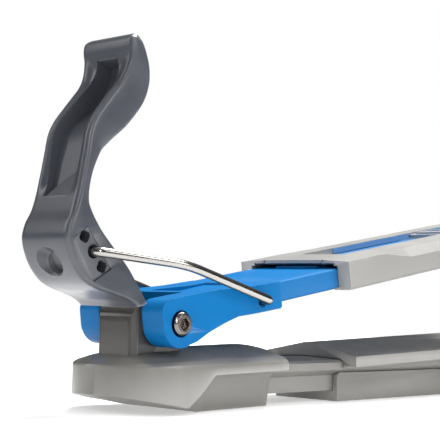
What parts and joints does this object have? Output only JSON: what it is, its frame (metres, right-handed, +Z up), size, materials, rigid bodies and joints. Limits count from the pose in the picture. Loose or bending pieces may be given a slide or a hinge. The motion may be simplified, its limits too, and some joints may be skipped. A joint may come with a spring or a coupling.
{
  "type": "ski touring binding adapter",
  "caption": "Ski touring adapter: sole-shaped two-piece base, toe hinge post, raised arm with sliding boot platform, wire toe bail and tall closing lever.",
  "frame": {"origin": "centre of the toe contact face on the sole plane, straight below the toe pivot", "axes": "+X towards the heel along the sole, +Y across the width, +Z up"},
  "size_m": [0.4099, 0.0782, 0.1764],
  "materials": {
    "base_plastic": "satin warm light grey moulded plastic",
    "post_plastic": "satin dark grey moulded plastic",
    "lever_plastic": "satin slate grey moulded plastic",
    "blue_plastic": "semi-gloss azure blue moulded plastic",
    "cover_plastic": "satin pale grey moulded plastic",
    "dark_plastic": "matt near-black moulded plastic",
    "rubber": "matt black rubber",
    "steel": "polished stainless steel",
    "bronze": "plain bearing bronze"
  },
  "bodies": {
    "toe_base": {"toe_block": "base_plastic", "toe_contact_plate": "base_plastic", "hinge_post": "post_plastic", "post_bushes": "bronze", "post_bolts": "steel", "base_rail": "base_plastic", "rail_screws": "steel"},
    "heel_base_body": {"heel_base": "base_plastic", "length_screw": "steel", "clamp_nut": "steel", "landing_pad": "rubber"},
    "arm": {"toe_arm": "blue_plastic", "pivot_pin": "steel", "pivot_screw": "steel", "thrust_washers": "dark_plastic", "slide_bar": "blue_plastic", "bar_screws": "steel"},
    "platform": {"platform_cover": "cover_plastic", "heel_stop": "post_plastic", "heel_stop_screws": "steel", "latch_spring": "steel"},
    "latch": {"length_latch": "post_plastic"},
    "heel_bail": {"heel_wire": "steel"},
    "toe_bail": {"toe_bail_wire": "steel"},
    "lever": {"toe_lever": "lever_plastic", "wire_saddle": "dark_plastic", "saddle_screws": "steel"}
  },
  "joints": [
    {"name": "base_length", "type": "slide", "parent": "toe_base", "child": "heel_base_body", "axis": [1, 0, 0], "range_m": [-0.045, 0.005]},
    {"name": "arm_pivot", "type": "hinge", "parent": "toe_base", "child": "arm", "pos_m": [0, 0, 0.0417], "axis": [0, -1, 0], "range_deg": [-9.5, 44]},
    {"name": "platform_length", "type": "slide", "parent": "arm", "child": "platform", "axis": [0.9863, 0, 0.165], "range_m": [-0.045, 0.005]},
    {"name": "latch_press", "type": "slide", "parent": "platform", "child": "latch", "axis": [-0.165, 0, 0.9863], "range_m": [0, 0.0008], "stiffness_N_per_m": 500, "springref_m": -0.001, "deforming": ["latch_spring"]},
    {"name": "heel_bail_swing", "type": "hinge", "parent": "platform", "child": "heel_bail", "pos_m": [0.30833, 0, 0.11378], "axis": [0, -1, 0], "range_deg": [0, 150]},
    {"name": "toe_bail_swing", "type": "hinge", "parent": "arm", "child": "toe_bail", "pos_m": [0.05416, 0, 0.0531], "axis": [0, 1, 0], "range_deg": [0, 60]},
    {"name": "toe_lever_swing", "type": "hinge", "parent": "toe_bail", "child": "lever", "pos_m": [-0.044, 0, 0.0737], "axis": [0, -1, 0], "range_deg": [0, 110]}
  ]
}
